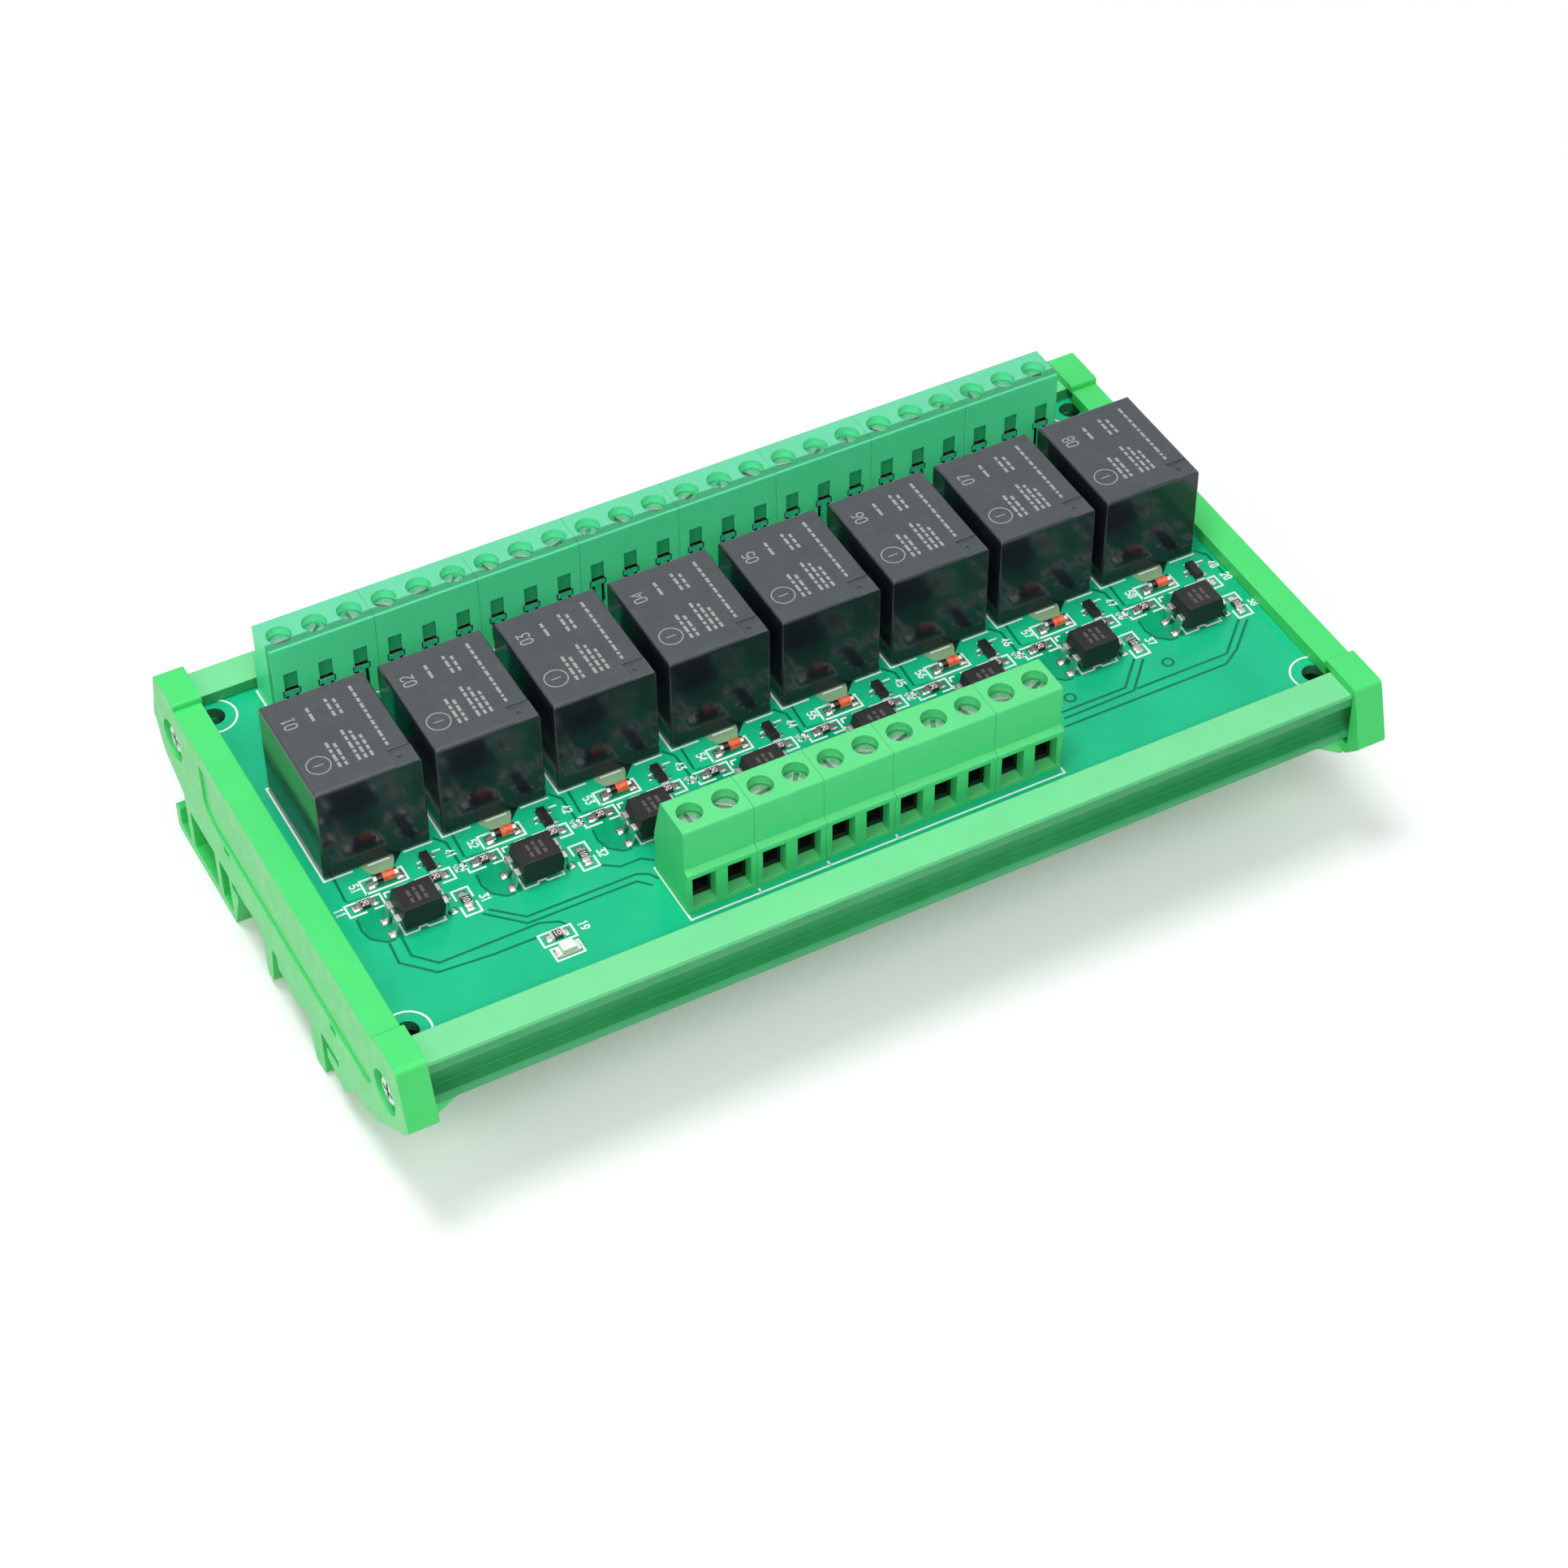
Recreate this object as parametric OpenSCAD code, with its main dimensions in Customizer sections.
// Eight-channel relay interface module: a populated circuit board that slides into an
// extruded tray, closed at both ends by moulded elements with feet for a 35 mm rail.
// X runs along the module, +Y points to the relay contact terminals, +Z is up.
// The origin is on the surface that the feet stand on, below the centre of the module.

/* [Board] */
// Length of the circuit board
board_len = 141; // [139:0.1:150]
// Width of the circuit board
board_w = 72; // [70:0.1:76]
// Thickness of the circuit board
board_t = 1.6; // [1.4:0.1:1.7]
// Diameter of the four fixing holes
fixing_d = 3.2; // [2.8:0.1:3.6]
// Distance from the board's short edges to the fixing holes
fixing_inset_x = 2.85; // [2.5:0.05:3.4]
// Distance from the board's long edges to the fixing holes
fixing_inset_y = 4; // [3.8:0.1:4.6]
// Diameter of the drilled holes for relay and terminal pins
drill_d = 1.5; // [1.3:0.1:1.7]
// How far soldered pins stand out below the board
pin_tail = 1.5; // [1:0.1:1.8]

/* [Tray] */
// How far the tray reaches past each long edge of the board
tray_rim = 3.9; // [3.6:0.1:4.3]
// Width of each lip that covers the edge of the board
lip_w = 5.4; // [5:0.1:5.6]
// Thickness of each lip
lip_t = 1.7; // [1.4:0.1:1.9]
// Thickness of the tray's floor
floor_t = 1.6; // [1.2:0.1:1.9]
// Height from the underside of the tray to the top of the board
tray_depth = 7; // [6.8:0.1:7.4]
// Bore of the screw channels in the tray's walls
channel_d = 2.5; // [2.2:0.1:2.8]

/* [End elements] */
// Thickness of the end wall
end_wall = 2.2; // [1.9:0.1:2.4]
// Height of the strip along the top of the end wall above the board
strip_h = 2.1; // [1.8:0.1:2.3]
// Depth of that strip along the module
strip_l = 4.1; // [3.6:0.1:4.3]
// Height of the corner blocks above the board
block_h = 3.2; // [2.9:0.1:3.6]
// Depth of the corner blocks below the top of the board
block_drop = 8.8; // [8.6:0.1:9.6]
// Length of the corner blocks along the module
block_l = 4.3; // [4:0.1:5]
// How far the flared corners reach past the tray
corner_flare = 2.9; // [2.4:0.1:3.4]
// Width of the feet along the module
foot_w = 9; // [7:0.5:11]
// Head recess diameter of the end screws
head_recess_d = 6.4; // [6:0.1:6.8]

/* [Rail feet] */
// Width of the mounting rail
rail_w = 35; // [34.8:0.1:35.2]
// Height of the top of the board above the surface that the feet stand on
board_top = 25.8; // [25.2:0.1:27]
// Height of the rail seat above the foot's underside
seat_h = 8.8; // [8.5:0.1:9]
// Thickness of the rail flange that the hooks take
flange_gap = 1.3; // [1.1:0.1:1.6]
// How far the latch's nose reaches under the rail flange
latch_reach = 1.7; // [1.2:0.1:2]
// How far the fixed hook reaches under the rail flange
hook_reach = 4.2; // [3.6:0.1:4.4]

/* [Relays] */
// Share of the spare length between the end elements that parts two relays
relay_share = 0.1038; // [0.09:0.0001:0.12]
// Width of a relay
relay_w = 15.2; // [14.8:0.1:15.4]
// Length of a relay across the board
relay_l = 19; // [18.6:0.1:19.2]
// Height of a relay above the board
relay_h = 15.3; // [14.8:0.1:15.8]
// Position of the relays across the board
relay_y = 6.1; // [5.9:0.1:6.4]
// Wall of a relay cover
cover_wall = 0.8; // [0.7:0.05:1]
// Side draft of a relay cover at its top
cover_draft = 0.2; // [0.1:0.05:0.3]
// Rounding of a relay cover's edges
cover_r = 0.6; // [0.4:0.1:0.8]

/* [Terminals] */
// Distance between neighbouring poles
pole_pitch = 5.08; // [5.06:0.01:5.1]
// Height of the relay contact terminals
rear_h = 13.4; // [13:0.1:13.8]
// Height of the input terminals
front_h = 14.3; // [13.9:0.1:14.7]
// Distance from the board's rear edge to the screw line of the relay contact terminals
rear_inset = 7.2; // [7.1:0.1:7.3]
// Distance from the board's front edge to the screw line of the input terminals
front_inset = 8.5; // [8.4:0.1:8.6]
// Diameter of the screwdriver holes
driver_d = 3.5; // [3.3:0.1:3.7]
// Width of a wire opening
wire_w = 3.4; // [3:0.1:3.6]
// Height of a wire opening
wire_h = 5.3; // [4.8:0.1:5.5]
// Clearance between a clamp and its chamber
clamp_gap = 0.15; // [0.1:0.05:0.2]

/* [Small parts] */
// Width of an optocoupler across its leads
opto_w = 6; // [5.8:0.1:6.4]
// Length of an optocoupler
opto_l = 4.4; // [4.2:0.1:4.6]
// Height of an optocoupler's body
opto_h = 3.5; // [3.3:0.1:3.7]
// Distance between the two rows of optocoupler leads at the board
lead_row = 7.9; // [7.7:0.1:8]
// Diameter of a flyback diode's glass body
diode_d = 1.4; // [1.3:0.05:1.5]
// Length of a flyback diode
diode_l = 3.5; // [3.3:0.1:3.7]

/* [Hidden] */
CHANNELS = 8;
REAR_POLES = 3;
FRONT_GROUPS = [2, 2, 2, 3, 2];

$fn = 32;
fit = 0.1;                  // clearance between pieces that slide or seat in each other
seam = 0.04;                // gap between terminals that stand side by side
eps = 0.01;                 // overrun of a cut past the face it opens

green_end = "#4fe07a";
green_tray = "#86dcae";
green_rear = "#3fc47c";
green_front = "#52cf7e";
green_board = "#1fae7c";
relay_black = "#3a3e42";
steel = "#c9ced2";
tin = "#d9dcdc";
copper = "#b9703a";
ink = "#202326";

// Heights that follow from the driving dimensions
board_z0 = board_top - board_t;
tray_z0 = board_top - tray_depth;
lip_z0 = board_top + 0.15;
lip_z1 = lip_z0 + lip_t;
strip_z1 = board_top + strip_h;
block_z1 = max(board_top + block_h, lip_z1 + 0.8);
block_z0 = board_top - block_drop;

// Places along the module, from its centre outwards
tray_half_l = board_len / 2;
wall_x = tray_half_l + fit;
outer_x = wall_x + end_wall;
strip_x = outer_x - strip_l;
block_x = outer_x - block_l;
foot_x = outer_x - foot_w;
fixing_x = board_len / 2 - fixing_inset_x;

// Places across the module, from its centre outwards
board_slot_half_w = board_w / 2 + fit;
tray_half_w = board_w / 2 + tray_rim;
end_half_w = tray_half_w + corner_flare;
block_y = tray_half_w - 6.7;
fixing_y = board_w / 2 - fixing_inset_y;
rear_y = board_w / 2 - rear_inset;
front_y = board_w / 2 - front_inset;

// Repeated places
relay_pitch = relay_w + relay_share * (2 * strip_x - CHANNELS * relay_w);
function relay_x(i) = (i - (CHANNELS - 1) / 2) * relay_pitch;
rear_x0 = 0.45 - (CHANNELS * REAR_POLES - 1) / 2 * pole_pitch;
function rear_pole_x(n) = rear_x0 + n * pole_pitch;
function sum_to(list, n) = n <= 0 ? 0 : list[n - 1] + sum_to(list, n - 1);
FRONT_POLES = sum_to(FRONT_GROUPS, len(FRONT_GROUPS));
function front_pole_x(n) = (n - (FRONT_POLES - 1) / 2) * pole_pitch;

// Points of a closed outline whose corners are rounded: each item is [x, y, radius]
function unit(v) = v / norm(v);
function round_corner(a, p, b, r, steps = 5) =
    let (u = unit([a[0] - p[0], a[1] - p[1]]), v = unit([b[0] - p[0], b[1] - p[1]]),
         half = acos(u * v) / 2, d = r / tan(half), c = [p[0], p[1]] + unit(u + v) * r / sin(half),
         s = [p[0], p[1]] + u * d - c, e = [p[0], p[1]] + v * d - c,
         turn = (s[0] * e[1] - s[1] * e[0] > 0 ? 1 : -1) * (180 - 2 * half))
    [for (k = [0 : steps])
        let (t = turn * k / steps)
        [c[0] + s[0] * cos(t) - s[1] * sin(t), c[1] + s[0] * sin(t) + s[1] * cos(t)]];
function rounded(points) =
    let (n = len(points))
    [for (i = [0 : n - 1])
        each (points[i][2] > 0
            ? round_corner(points[(i + n - 1) % n], points[i], points[(i + 1) % n], points[i][2])
            : [[points[i][0], points[i][1]]])];

// Extrudes an outline drawn in (Y, Z) along X from x0 to x1
module along_x(x0, x1) {
    translate([x0, 0, 0]) rotate([90, 0, 90]) linear_extrude(height = x1 - x0) children();
}

// Extrudes an outline drawn in (X, Z) along Y from y0 to y1
module along_y(y0, y1) {
    translate([0, y1, 0]) rotate([90, 0, 0]) linear_extrude(height = y1 - y0) children();
}

// A box given by its two corners
module block(low, high) {
    translate(low) cube(high - low);
}

module both_sides() {
    children();
    mirror([0, 1, 0]) children();
}

module on_board() {
    translate([0, 0, board_top]) children();
}

// ---------------------------------------------------------------- tray

screw_y = tray_half_w - 4.3;
screw_z = board_top - 5.2;
channel_inner_y = tray_half_w - 6.5;
groove_y = tray_half_w - 2;      // bottom of the groove along the tray's side
groove_z1 = board_top - 0.2;
groove_z0 = board_top - 4.7;
flange_z0 = board_top - 6.1;
edge = 0.3;                      // bevel along the tray's outer edges

// One half of the tray's section, from the middle of its underside round to its floor
tray_half_points = [
    [0, tray_z0], [groove_y - edge, tray_z0], [groove_y, tray_z0 + edge],
    [groove_y, flange_z0], [tray_half_w - edge, flange_z0], [tray_half_w, flange_z0 + edge],
    [tray_half_w, groove_z0 - edge], [tray_half_w - edge, groove_z0], [groove_y, groove_z0],
    [groove_y, groove_z1], [tray_half_w - edge, groove_z1 - edge / 2],
    [tray_half_w, groove_z1 + edge], [tray_half_w, lip_z1 - edge], [tray_half_w - edge, lip_z1],
    [tray_half_w - lip_w, lip_z1], [tray_half_w - lip_w, lip_z0],
    [board_slot_half_w, lip_z0], [board_slot_half_w, board_z0 - fit],
    [channel_inner_y, board_z0 - fit], [channel_inner_y, tray_z0 + floor_t],
    [0, tray_z0 + floor_t]
];

module carrier_tray() {
    last = len(tray_half_points) - 1;
    color(green_tray)
    difference() {
        along_x(-tray_half_l, tray_half_l) polygon(concat(
            tray_half_points,
            [for (k = [last - 1 : -1 : 1]) [-tray_half_points[k][0], tray_half_points[k][1]]]));
        for (side = [-1, 1])
            translate([-outer_x, side * screw_y, screw_z]) rotate([0, 90, 0])
                cylinder(d = channel_d, h = 2 * outer_x);
    }
}

// ---------------------------------------------------------------- end elements

arm_t = 1.8;
rib_t = 1.6;
rib_count = 6;
plate_low_z = board_top - 16.8;
nose_z = seat_h - flange_gap;    // upper face of the hook and of the latch's nose
latch_y0 = rail_w / 2 + 0.5;
latch_y1 = tray_half_w - 0.1;
tab_y0 = tray_half_w - 6.9;
window_y = latch_y0 + 4.6;
hook_y0 = rail_w / 2 + 1;
hook_tip_y = -hook_y0 + hook_reach;
hook_back_y = -hook_y0 - 6.1;
panel_step = 0.3;
head_sink = 1.6;                 // depth of the recess for a screw's head
screw_d = channel_d - fit;

// Outline of the end wall seen along the module: bevelled in front, rounded behind
module end_wall_outline() {
    polygon(rounded([
        [-end_half_w + 3.2, strip_z1, 0], [-end_half_w + 0.3, board_top - 5.9, 0.5],
        [-end_half_w + 2.4, board_top - 8.1, 1.5], [-end_half_w + 11.6, board_top - 15.5, 6],
        [-end_half_w + 16.2, plate_low_z, 4], [end_half_w - 10.8, plate_low_z, 2],
        [end_half_w - 8.9, board_top - 15.1, 2], [end_half_w - 2.2, board_top - 10.9, 3],
        [end_half_w - 0.3, board_top - 5.9, 0.5], [end_half_w - 3.2, strip_z1, 0]
    ]));
}

// Corner block over the end of the tray, seen along the module
module corner_block_outline() {
    polygon(rounded([
        [block_y, block_z0 + 1, 0.4], [block_y, block_z1, 0.5],
        [tray_half_w + 0.4, block_z1, 0.9], [end_half_w, board_top - 5.9, 0.8],
        [end_half_w - 2.8, block_z0, 0.6], [block_y + 3, block_z0, 0.9]
    ]));
}

// Gusset under a corner of the tray, seen from the front
module gusset_outline() {
    polygon([[-block_x + 4, tray_z0 - fit], [-block_x, board_top - 9.8],
             [-outer_x + 1, board_top - 9.8], [-outer_x + 1, tray_z0 - fit]]);
}

// Latch behind the rail: a hanging frame with a nose and an eye for a screwdriver
module latch_outline() {
    nose_y = latch_y0 - latch_reach;
    difference() {
        polygon(rounded([
            [nose_y - 0.1, nose_z - 0.6, 0.2], [nose_y, nose_z, 0.2],
            [latch_y0, nose_z, 0], [latch_y0, plate_low_z + 1, 0],
            [tab_y0 + rib_t, plate_low_z + 1, 0], [tab_y0 + rib_t, arm_t, 0],
            [latch_y1 - rib_t, arm_t, 0.3], [latch_y1 - rib_t, 4.9, 0.3],
            [latch_y1, 4.9, 0.5], [latch_y1, 0, 1], [latch_y0 + 0.6, 0, 0.5]
        ]));
        for (span = [[latch_y0 + 1.1, window_y], [window_y + rib_t, tab_y0]])
            polygon(rounded([
                [span[0], arm_t, 0.4], [span[1], arm_t, 0.4],
                [span[1], plate_low_z, 0.4], [span[0], plate_low_z, 0.4]
            ]));
    }
}

// Fixed hook in front of the rail
module hook_outline() {
    polygon(rounded([
        [-hook_y0, plate_low_z + 1, 0], [-hook_y0, nose_z, 0], [hook_tip_y, nose_z, 0.2],
        [hook_tip_y - 0.1, nose_z - 2, 0.4], [hook_tip_y - 2.8, nose_z - 2.9, 1],
        [hook_tip_y - 5.1, nose_z - 3.6, 0.8], [hook_tip_y - 7.2, nose_z - 1.6, 1],
        [hook_back_y, plate_low_z + 0.5, 1], [hook_back_y, plate_low_z + 1, 0]
    ]));
}

// Web that carries the rail seats and reaches down between the flanges of the rail
module seat_web_outline() {
    top_z = plate_low_z + 1;
    leg_y0 = hook_tip_y + 1.7;
    pad = [latch_y0 - 5.4, latch_y0 - latch_reach - 0.2];
    polygon(rounded([
        [-hook_y0 - 0.2, top_z, 0], [-hook_y0 - 0.2, seat_h, 0], [leg_y0, seat_h, 0.2],
        [leg_y0, 0.4, 0.5], [leg_y0 + 3.1, 0, 0.6], [leg_y0 + 4, 4.1, 1], [leg_y0 + 3.8, 8.4, 1],
        [leg_y0 + 8.5, 5.9, 1], [-0.5, 6.8, 0.5], [2, 6.8, 0.4], [2.2, plate_low_z, 0.3],
        [3.8, plate_low_z, 0.3], [5.1, 1.3, 0.5], [6.9, 1.3, 0.5], [7, plate_low_z - 0.6, 0.6],
        [8.4, plate_low_z, 0], [pad[0] - 0.2, plate_low_z, 0], [pad[0], seat_h, 0],
        [pad[1], seat_h, 0], [pad[1] + 0.2, plate_low_z, 0],
        [latch_y0 + 0.2, plate_low_z, 0], [latch_y0 + 0.2, top_z, 0]
    ]));
}

module end_element_left() {
    color(green_end)
    difference() {
        union() {
            // end wall with the strip that laps over the board
            along_x(-outer_x, -wall_x) end_wall_outline();
            along_x(-outer_x, -strip_x) polygon([
                [-block_y - 1, board_top + fit], [block_y + 1, board_top + fit],
                [block_y + 1, strip_z1], [-block_y - 1, strip_z1]]);
            // corner blocks, which wrap the ends of the tray's walls, and their gussets
            both_sides() {
                along_x(-outer_x, -block_x) corner_block_outline();
                along_y(block_y, tray_half_w - 1) gusset_outline();
            }
            // feet, and the shelf that ties them to the end wall under the tray
            along_x(-outer_x, -foot_x) {
                latch_outline();
                hook_outline();
                seat_web_outline();
                polygon([[hook_back_y, plate_low_z], [tab_y0 + rib_t, plate_low_z],
                         [tab_y0 + rib_t, plate_low_z + rib_t], [hook_back_y, plate_low_z + rib_t]]);
            }
            // ribs between that shelf and the underside of the tray
            for (k = [0 : rib_count - 1])
                let (y = hook_back_y + k * (tab_y0 - hook_back_y) / (rib_count - 1))
                block([-outer_x, y, plate_low_z], [-foot_x, y + rib_t, tray_z0 - fit]);
        }
        // pocket for the tray
        along_x(-wall_x, 0) polygon([
            [-tray_half_w - fit, tray_z0 - fit], [tray_half_w + fit, tray_z0 - fit],
            [tray_half_w + fit, lip_z1 + fit], [block_y - eps, lip_z1 + fit],
            [block_y - eps, board_top + fit], [-block_y + eps, board_top + fit],
            [-block_y + eps, lip_z1 + fit], [-tray_half_w - fit, lip_z1 + fit]]);
        // recesses for the end screws
        for (side = [-1, 1]) translate([-outer_x, side * screw_y, screw_z]) rotate([0, 90, 0]) {
            translate([0, 0, -eps]) cylinder(d = head_recess_d, h = head_sink + eps);
            cylinder(d = screw_d + 3 * fit, h = block_l);
        }
        // sunk panel of the outer face, with two rail marks below it
        along_x(-outer_x - 1, -outer_x + panel_step)
            polygon(rounded([
                [block_y - 8.1, board_top - 0.8, 0.3], [-block_y + 2.2, board_top - 0.8, 0.3],
                [-block_y + 2.2, board_top - 10, 3], [block_y - 8.1, board_top - 10, 3]]));
        for (mark = [-1, 1])
            block([-outer_x - 1, mark * latch_y0 - 0.9, board_top - 11.9],
                  [-outer_x + panel_step, mark * latch_y0 + 0.9, board_top - 10.6]);
    }
}

module end_element_right() {
    mirror([1, 0, 0]) end_element_left();
}

// ---------------------------------------------------------------- end screws

head_d = 5.4;
head_h = 1.2;
shank_l = 9;

module end_screw() {
    difference() {
        union() {
            cylinder(d = head_d, h = head_h - 0.5);
            translate([0, 0, head_h - 0.5 - eps]) cylinder(d1 = head_d, d2 = 3.6, h = 0.5 + eps);
            translate([0, 0, -shank_l]) cylinder(d = screw_d, h = shank_l + eps);
        }
        for (turn = [0, 90]) rotate([0, 0, turn])
            translate([-1.5, -0.3, 0.4]) cube([3, 0.6, head_h]);
    }
}

module end_screws() {
    color(steel)
    for (end = [-1, 1], side = [-1, 1])
        translate([end * (outer_x - head_sink), side * screw_y, screw_z]) rotate([0, end * 90, 0])
            end_screw();
}

// ---------------------------------------------------------------- circuit board

// Relay pins as [x, y] from the relay's centre: coil, coil, common, closed, open
relay_pin_x = relay_w / 2 - 1.6;
relay_pin_places = [[-relay_pin_x, -5.1], [relay_pin_x, -5.1], [0, -7.1],
                    [-relay_pin_x, 7.1], [relay_pin_x, 7.1]];
opto_x = 0.6;
opto_y = -15;
lead_pitch = 2.54;
lead_places = [for (x = [-1, 1], y = [-1, 1]) [x * lead_row / 2, y * lead_pitch / 2]];
rear_pin_y = rear_y - 2.25;
front_pin_y = -front_y + 2.25;

module channel_places() {
    for (i = [0 : CHANNELS - 1]) translate([relay_x(i), 0, board_top]) children();
}

module small_drill(d) {
    translate([0, 0, board_z0 - 1]) cylinder(d = d, h = board_t + 2, $fn = 8);
}

module circuit_board() {
    color(green_board)
    difference() {
        block([-board_len / 2, -board_w / 2, board_z0], [board_len / 2, board_w / 2, board_top]);
        for (x = [-1, 1], y = [-1, 1])
            translate([x * fixing_x, y * fixing_y, board_z0 - 1])
                cylinder(d = fixing_d, h = board_t + 2);
        for (i = [0 : CHANNELS - 1]) {
            for (p = relay_pin_places) translate([relay_x(i) + p[0], relay_y + p[1], 0])
                small_drill(drill_d);
            for (p = lead_places) translate([relay_x(i) + opto_x + p[0], opto_y + p[1], 0])
                small_drill(0.9);
        }
        for (n = [0 : CHANNELS * REAR_POLES - 1]) translate([rear_pole_x(n), rear_pin_y, 0])
            small_drill(drill_d);
        for (n = [0 : FRONT_POLES - 1]) translate([front_pole_x(n), front_pin_y, 0])
            small_drill(drill_d);
    }
}

// ---------------------------------------------------------------- relays

cover_z0 = 0.3;
base_t = 1.2;

module relay_places() {
    channel_places() translate([0, relay_y, 0]) children();
}

// Side view of a cover: straight foot, slight draft, rounded top corners
module cover_outline(w, h) {
    polygon(rounded([
        [-w / 2, cover_z0, 0], [w / 2, cover_z0, 0],
        [w / 2 - cover_draft, h, cover_r], [-w / 2 + cover_draft, h, cover_r]]));
}

// Plan of a cover, with rounded upright edges
module cover_plan(w, l, r) {
    polygon(rounded([[-w / 2, -l / 2, r], [w / 2, -l / 2, r], [w / 2, l / 2, r], [-w / 2, l / 2, r]]));
}

module relay_cover(i) {
    color(relay_black)
    translate([relay_x(i), relay_y, board_top])
    difference() {
        intersection() {
            along_y(-relay_l, relay_l) cover_outline(relay_w, relay_h);
            along_x(-relay_w, relay_w) cover_outline(relay_l, relay_h);
            linear_extrude(height = relay_h + 1) cover_plan(relay_w, relay_l, cover_r);
        }
        // hollow for the works
        block([-relay_w / 2 + cover_wall, -relay_l / 2 + cover_wall, -1],
              [relay_w / 2 - cover_wall, relay_l / 2 - cover_wall, relay_h - cover_wall]);
        // step and vent at one top corner
        block([relay_w / 2 - 3.6, -relay_l / 2 - 1, relay_h - 0.25],
              [relay_w / 2 + 1, -relay_l / 2 + 3.4, relay_h + 1]);
        translate([relay_w / 2 - 2.4, -relay_l / 2 + 1.8, relay_h - 0.5]) cylinder(d = 0.8, h = 2);
    }
}

module relay_base() {
    difference() {
        union() {
            block([-relay_w / 2 + cover_wall + fit, -relay_l / 2 + cover_wall + fit, cover_z0],
                  [relay_w / 2 - cover_wall - fit, relay_l / 2 - cover_wall - fit,
                   cover_z0 + base_t]);
            for (x = [-1, 1], y = [-1, 1])
                translate([x * (relay_w / 2 - 3), y * (relay_l / 2 - 5), 0])
                    cylinder(d = 1.6, h = cover_z0 + eps);
        }
        for (p = relay_pin_places) block([p[0] - 0.6, p[1] - 0.4, -1], [p[0] + 0.6, p[1] + 0.4, 3]);
    }
}

module relay_bases() {
    color(relay_black) relay_places() relay_base();
}

works_z = cover_z0 + base_t + fit;
coil_h = 8.6;
coil_y = -1.6;
coil_x = relay_pin_x - 1.4;      // half width of the bobbin's flanges
coil_y0 = 4;
coil_flange = 0.8;
winding_d = 2 * (coil_y0 + fit);
core_d = 3;
core_z1 = works_z + coil_h + 0.4;
iron_x = coil_x - 0.2;           // half width of the yoke and the armature
iron_t = 1;
yoke_y = coil_y - coil_y0 - 1.2;
armature_z = core_z1 + 0.3;
spring_x = 2.2;
spring_t = 0.3;
spring_z = armature_z + iron_t + fit;
spring_y1 = relay_l / 2 - 1.9;
contact_d = 2.2;
contact_y = relay_l / 2 - 3;
pin_w = 1;
pin_t = 0.5;
contact_pins = [relay_pin_places[3], relay_pin_places[4]];

module relay_coils() {
    color(copper) relay_places() translate([0, coil_y, works_z]) {
        for (z = [0, coil_h - coil_flange])
            block([-coil_x, -coil_y0, z], [coil_x, coil_x, z + coil_flange]);
        cylinder(d = winding_d, h = coil_h);
        cylinder(d = core_d, h = core_z1 - works_z);
    }
}

module relay_yokes() {
    color(steel) relay_places()
        block([-iron_x, yoke_y, works_z], [iron_x, yoke_y + iron_t, core_z1]);
}

module relay_armatures() {
    color(steel) relay_places()
        block([-iron_x, yoke_y, armature_z], [iron_x, coil_y + iron_x, armature_z + iron_t]);
}

module relay_contact_springs() {
    color(copper) relay_places() {
        block([-spring_x, coil_y - 3, spring_z], [spring_x, spring_y1, spring_z + spring_t]);
        translate([0, contact_y, spring_z - 0.8]) cylinder(d = contact_d, h = 0.8 + eps);
    }
}

module relay_pins() {
    color(tin) relay_places() {
        for (p = relay_pin_places)
            block([p[0] - pin_w / 2, p[1] - pin_t / 2, -board_t - pin_tail],
                  [p[0] + pin_w / 2, p[1] + pin_t / 2, works_z + 1]);
        // fixed contacts below and above the moving one
        for (p = contact_pins)
            let (side = sign(p[0]), z = side < 0 ? spring_z - 1.6 : spring_z + 0.8, tip = -side * 1.2) {
                block([p[0] - pin_w / 2, p[1] - pin_t / 2, works_z],
                      [p[0] + pin_w / 2, p[1] + pin_t / 2, z + pin_t]);
                block([min(p[0] + side * 0.4, tip), p[1] - 1, z],
                      [max(p[0] + side * 0.4, tip), p[1] + pin_t / 2, z + pin_t]);
            }
    }
}

// ---------------------------------------------------------------- terminal works

// All of one pole is drawn with its screw line at the origin and its wire side towards -Y
clamp_w = wire_w + 0.3;
clamp_d = 3.6;
clamp_z0 = 0.95;
clamp_z1 = 7.4;
window_z0 = 1.7;
window_z1 = 5.6;
bar_z = 4.5;
bar_t = 0.8;
chamber_z1 = 8.6;
screw_hole_d = 2.7;
pole_screw_d = 2.4;
pole_head_d = driver_d - 0.3;
pole_head_h = 1.5;
contact_w = 2.2;
contact_y0 = 1.4;
contact_y1 = 2.5;
leg_t = 0.5;
leg_w = 1;
slot_w = 0.6;
slot_z = 0.8;                    // height of the slot's bottom in a screw's head

// Height of the shoulder under a screw's head, in a housing of height h
function neck_z(h) = h - 3;

// How far each screw happens to be turned
function screw_turn(n) = n * 47 % 180;

module pole_clamp() {
    difference() {
        block([-clamp_w / 2, -clamp_d / 2, clamp_z0], [clamp_w / 2, clamp_d / 2, clamp_z1]);
        block([-clamp_w / 2 + 0.5, -clamp_d, window_z0], [clamp_w / 2 - 0.5, clamp_d, window_z1]);
        translate([0, 0, window_z1 - 1]) cylinder(d = pole_screw_d + fit, h = 4);
    }
}

module pole_screw(h) {
    low = bar_z + bar_t;
    difference() {
        union() {
            translate([0, 0, low]) cylinder(d = pole_screw_d, h = neck_z(h) - low + eps);
            translate([0, 0, neck_z(h)]) cylinder(d = pole_head_d, h = pole_head_h);
        }
        translate([-pole_head_d, -slot_w / 2, neck_z(h) + slot_z])
            cube([2 * pole_head_d, slot_w, pole_head_h]);
    }
}

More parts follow.
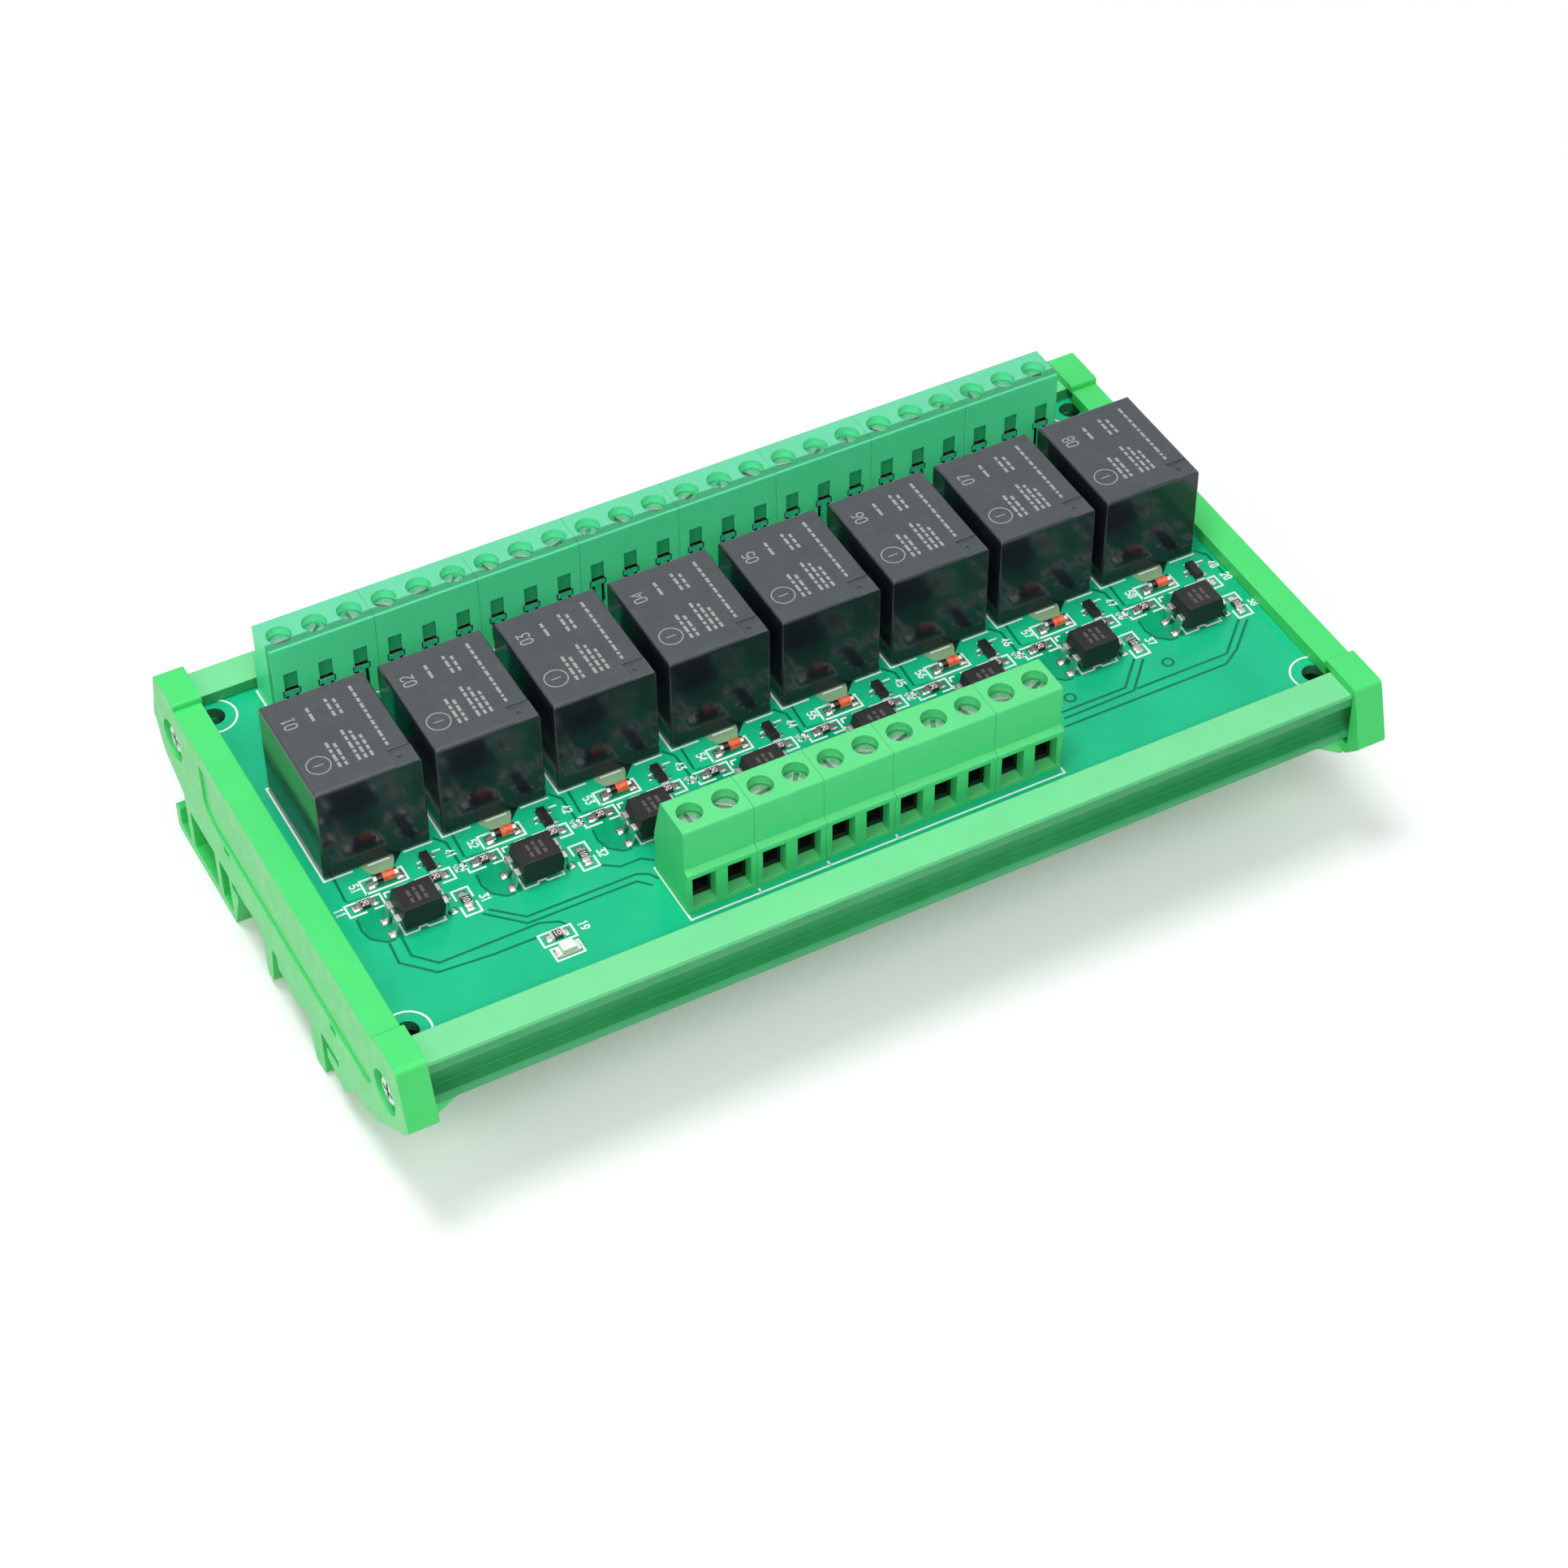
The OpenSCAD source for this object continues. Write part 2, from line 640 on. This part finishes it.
module pole_contact() {
    block([-contact_w / 2, -contact_y0, bar_z], [contact_w / 2, contact_y1, bar_z + bar_t]);
    block([-leg_w / 2, contact_y1 - leg_t, -board_t - pin_tail], [leg_w / 2, contact_y1, bar_z + eps]);
}

// Room for one pole's works inside a housing
module pole_chamber(h, mouth_y) {
    c = clamp_gap;
    block([-clamp_w / 2 - c, -clamp_d / 2 - c, clamp_z0 - c], [clamp_w / 2 + c, clamp_d / 2 + c, chamber_z1]);
    block([-wire_w / 2, -mouth_y - 1, clamp_z0 - c], [wire_w / 2, 0, clamp_z0 - c + wire_h]);
    block([-contact_w / 2 - 2 * fit, 0, bar_z - 2 * fit],
          [contact_w / 2 + 2 * fit, contact_y1 + c, bar_z + bar_t + 3 * fit]);
    block([-leg_w / 2 - 2 * fit, contact_y1 - 2 * leg_t, -1],
          [leg_w / 2 + 2 * fit, contact_y1 + c, bar_z]);
    cylinder(d = screw_hole_d, h = h);
    translate([0, 0, neck_z(h)]) cylinder(d = driver_d, h = h);
}

// ---------------------------------------------------------------- relay contact terminals

rear_back = 2.62;
rear_front = 4.6;

// Side view of a relay contact terminal, wire side towards -Y
module rear_housing_outline() {
    polygon(rounded([
        [rear_back, 0, 0], [rear_back, rear_h, 0.3], [-3.5, rear_h, 0.3],
        [-3.5, 7.6, 0], [-rear_front - 0.2, 7.2, 0.2], [-rear_front - 0.2, 6.5, 0.2],
        [-rear_front, 6.4, 0], [-rear_front, 0, 0]
    ]));
}

module rear_terminal(i) {
    x0 = rear_pole_x(i * REAR_POLES) - pole_pitch / 2 + seam / 2;
    x1 = x0 + REAR_POLES * pole_pitch - seam;
    color(green_rear)
    translate([0, rear_y, board_top])
    mirror([0, 1, 0])
    difference() {
        along_x(x0, x1) rear_housing_outline();
        for (k = [0 : REAR_POLES - 1]) translate([rear_pole_x(i * REAR_POLES + k), 0, 0]) {
            pole_chamber(rear_h, rear_front);
            // sunk field above the contact slot, towards the relays
            block([-1, rear_back - 0.5, 5.5], [1, rear_back + 1, 8.6]);
            block([-1, rear_back - 1, 1.1], [1, rear_back + 1, 5.1]);
        }
    }
}

module at_rear_poles() {
    for (n = [0 : CHANNELS * REAR_POLES - 1])
        translate([rear_pole_x(n), rear_y, board_top]) mirror([0, 1, 0]) children();
}

module rear_terminal_screws() {
    color(steel)
    for (n = [0 : CHANNELS * REAR_POLES - 1])
        translate([rear_pole_x(n), rear_y, board_top]) rotate([0, 0, screw_turn(n)])
            pole_screw(rear_h);
}

module rear_terminal_clamps() {
    color(steel) at_rear_poles() pole_clamp();
}

module rear_terminal_contacts() {
    color(tin) at_rear_poles() pole_contact();
}

// ---------------------------------------------------------------- input terminals

front_back = 5.4;
front_face = 3.7;

// Side view of an input terminal, wire side towards -Y
module front_housing_outline() {
    polygon(rounded([
        [front_back, 0, 0], [front_back, 7, 0.4], [3.3, front_h, 0.4],
        [-3.1, front_h, 0.4], [-3.1, 7.6, 0], [-front_face - 0.3, 7.2, 0.2],
        [-front_face - 0.3, 6.5, 0.2], [-front_face, 6.4, 0], [-front_face, 0, 0]
    ]));
}

module front_terminal(g) {
    first = sum_to(FRONT_GROUPS, g);
    count = FRONT_GROUPS[g];
    x0 = front_pole_x(first) - pole_pitch / 2 + seam / 2;
    x1 = x0 + count * pole_pitch - seam;
    color(green_front)
    translate([0, -front_y, board_top])
    difference() {
        along_x(x0, x1) front_housing_outline();
        for (k = [0 : count - 1]) translate([front_pole_x(first + k), 0, 0])
            pole_chamber(front_h, front_face);
    }
}

module at_front_poles() {
    for (n = [0 : FRONT_POLES - 1]) translate([front_pole_x(n), -front_y, board_top]) children();
}

module front_terminal_screws() {
    color(steel)
    for (n = [0 : FRONT_POLES - 1])
        translate([front_pole_x(n), -front_y, board_top]) rotate([0, 0, screw_turn(n + 2)])
            pole_screw(front_h);
}

module front_terminal_clamps() {
    color(steel) at_front_poles() pole_clamp();
}

module front_terminal_contacts() {
    color(tin) at_front_poles() pole_contact();
}

// ---------------------------------------------------------------- small parts

opto_z0 = 0.9;
lead_z = opto_z0 + opto_h / 2;
lead_t = 0.26;
lead_w = 1.2;
lead_drop = 0.4;                 // height above the board at which a lead narrows
lead_pin_w = 0.5;
shoulder_x = lead_row / 2 - 0.2;

module optocoupler(i) {
    color(ink)
    translate([relay_x(i) + opto_x, opto_y, board_top])
    difference() {
        along_y(-opto_l / 2, opto_l / 2) polygon([
            [-opto_w / 2 + 0.3, opto_z0], [opto_w / 2 - 0.3, opto_z0],
            [opto_w / 2, lead_z - 0.15], [opto_w / 2, lead_z + 0.15],
            [opto_w / 2 - 0.4, opto_z0 + opto_h], [-opto_w / 2 + 0.4, opto_z0 + opto_h],
            [-opto_w / 2, lead_z + 0.15], [-opto_w / 2, lead_z - 0.15]]);
        translate([-opto_w / 2 + 1.1, -opto_l / 2 + 1, opto_z0 + opto_h - 0.15])
            cylinder(d = 0.9, h = 1);
    }
}

module optocoupler_leads() {
    color(tin) channel_places() translate([opto_x, opto_y, 0])
        for (side = [0, 1], row = [-1, 1])
        mirror([side, 0, 0]) translate([0, row * lead_pitch / 2, 0]) {
            along_y(-lead_w / 2, lead_w / 2) polygon(rounded([
                [opto_w / 2 + 0.02, lead_z - lead_t / 2, 0],
                [shoulder_x - lead_t, lead_z - lead_t / 2, 0],
                [lead_row / 2 - lead_t / 2, lead_drop, 0], [lead_row / 2 + lead_t / 2, lead_drop, 0],
                [shoulder_x, lead_z + lead_t / 2, 0.2], [opto_w / 2 + 0.02, lead_z + lead_t / 2, 0]
            ]));
            block([lead_row / 2 - lead_t / 2, -lead_pin_w / 2, -board_t - pin_tail],
                  [lead_row / 2 + lead_t / 2, lead_pin_w / 2, lead_drop + eps]);
        }
}

// Places of the surface-mounted parts of one channel, from the relay's centre line
diode_place = [-0.65, -7.1];
transistor_place = [5.4, -7];
channel_resistor_place = [-4.75, -9.95];
base_resistor_place = [5.25, -9.95];
input_resistor_place = [7, -15.5];
chip_l = 2;
chip_w = 1.25;
chip_h = 0.5;
chip_cap = 0.4;
diode_cap = 0.45;
solder_z = 0.06;

module diode_lying(x0, x1, d) {
    translate([x0, 0, solder_z + diode_d / 2 + 0.05]) rotate([0, 90, 0]) cylinder(d = d, h = x1 - x0);
}

module diode_glass() {
    color("#c8502a") channel_places() translate(diode_place)
        diode_lying(-diode_l / 2 + diode_cap, diode_l / 2 - diode_cap, diode_d);
}

module diode_caps() {
    color(tin) channel_places() translate(diode_place) {
        diode_lying(-diode_l / 2, -diode_l / 2 + diode_cap, diode_d + 0.1);
        diode_lying(diode_l / 2 - diode_cap, diode_l / 2, diode_d + 0.1);
    }
}

sot_l = 2.9;                     // length, half width and height of a transistor's body
sot_x = 0.68;
sot_h = 1.1;
sot_lead_w = 0.4;
sot_lead_t = 0.12;
sot_lead_z = 0.5;
sot_foot_x = 1.3;
sot_foot_t = 0.13;
sot_pitch = 1.9;

module transistor_bodies() {
    color(ink) channel_places() translate(transistor_place)
        along_y(-sot_l / 2, sot_l / 2) polygon([
            [-sot_x + 0.08, 0.15], [sot_x - 0.08, 0.15], [sot_x, sot_lead_z + 0.1],
            [sot_x - 0.13, sot_h], [-sot_x + 0.13, sot_h], [-sot_x, sot_lead_z + 0.1]]);
}

module gull_lead() {
    along_y(-sot_lead_w / 2, sot_lead_w / 2) polygon([
        [sot_x, sot_lead_z], [sot_foot_x - 0.4, sot_lead_z], [sot_foot_x - 0.3, solder_z + sot_foot_t],
        [sot_foot_x, solder_z + sot_foot_t], [sot_foot_x, solder_z], [sot_foot_x - 0.42, solder_z],
        [sot_x + 0.1, sot_lead_z - sot_lead_t], [sot_x, sot_lead_z - sot_lead_t]]);
}

module transistor_leads() {
    color(tin) channel_places() translate(transistor_place) {
        for (side = [-1, 1]) translate([0, side * sot_pitch / 2, 0]) gull_lead();
        mirror([1, 0, 0]) gull_lead();
    }
}

// A chip resistor lying along X: a body between slightly thicker end caps
module chip() {
    block([-chip_l / 2 + chip_cap, -chip_w / 2, solder_z + 0.02],
          [chip_l / 2 - chip_cap, chip_w / 2, solder_z + chip_h - 0.02]);
    for (side = [0, 1]) mirror([side, 0, 0])
        block([chip_l / 2 - chip_cap, -chip_w / 2, solder_z], [chip_l / 2, chip_w / 2, solder_z + chip_h]);
}

module channel_resistors() {
    color(ink) channel_places() translate(channel_resistor_place) chip();
}

module base_resistors() {
    color(ink) channel_places() translate(base_resistor_place) chip();
}

module input_resistors() {
    color(ink) channel_places() translate(input_resistor_place) rotate([0, 0, 90]) chip();
}

power_place = [-board_len / 2 + 26.3, -board_w / 2 + 9.5];
led_l = 3.2;
led_w = 1.6;
led_base_t = 0.45;
led_h = 1.1;
lens_x = 1.1;

module power_resistor() {
    color(ink) on_board() translate(power_place) chip();
}

// Light-emitting diode of the power supply: a flat base under a bevelled lens
module power_led() {
    color("#eef2ee") on_board() translate(power_place + [0.1, -2.9]) {
        block([-led_l / 2, -led_w / 2, solder_z], [led_l / 2, led_w / 2, solder_z + led_base_t]);
        along_y(-led_w / 2, led_w / 2) polygon([
            [-lens_x, solder_z + led_base_t - 0.05], [lens_x, solder_z + led_base_t - 0.05],
            [lens_x - 0.15, solder_z + led_h], [-lens_x + 0.15, solder_z + led_h]]);
    }
}

// ---------------------------------------------------------------- output

carrier_tray();
end_element_left();
end_element_right();
end_screws();
circuit_board();
relay_cover(0);  // relay_cover_1
relay_cover(1);  // relay_cover_2
relay_cover(2);  // relay_cover_3
relay_cover(3);  // relay_cover_4
relay_cover(4);  // relay_cover_5
relay_cover(5);  // relay_cover_6
relay_cover(6);  // relay_cover_7
relay_cover(7);  // relay_cover_8
relay_bases();
relay_coils();
relay_yokes();
relay_armatures();
relay_contact_springs();
relay_pins();
rear_terminal(0);  // rear_terminal_1
rear_terminal(1);  // rear_terminal_2
rear_terminal(2);  // rear_terminal_3
rear_terminal(3);  // rear_terminal_4
rear_terminal(4);  // rear_terminal_5
rear_terminal(5);  // rear_terminal_6
rear_terminal(6);  // rear_terminal_7
rear_terminal(7);  // rear_terminal_8
rear_terminal_screws();
rear_terminal_clamps();
rear_terminal_contacts();
front_terminal(0);  // front_terminal_1
front_terminal(1);  // front_terminal_2
front_terminal(2);  // front_terminal_3
front_terminal(3);  // front_terminal_4
front_terminal(4);  // front_terminal_5
front_terminal_screws();
front_terminal_clamps();
front_terminal_contacts();
optocoupler(0);  // optocoupler_1
optocoupler(1);  // optocoupler_2
optocoupler(2);  // optocoupler_3
optocoupler(3);  // optocoupler_4
optocoupler(4);  // optocoupler_5
optocoupler(5);  // optocoupler_6
optocoupler(6);  // optocoupler_7
optocoupler(7);  // optocoupler_8
optocoupler_leads();
diode_glass();
diode_caps();
transistor_bodies();
transistor_leads();
channel_resistors();
base_resistors();
input_resistors();
power_led();
power_resistor();
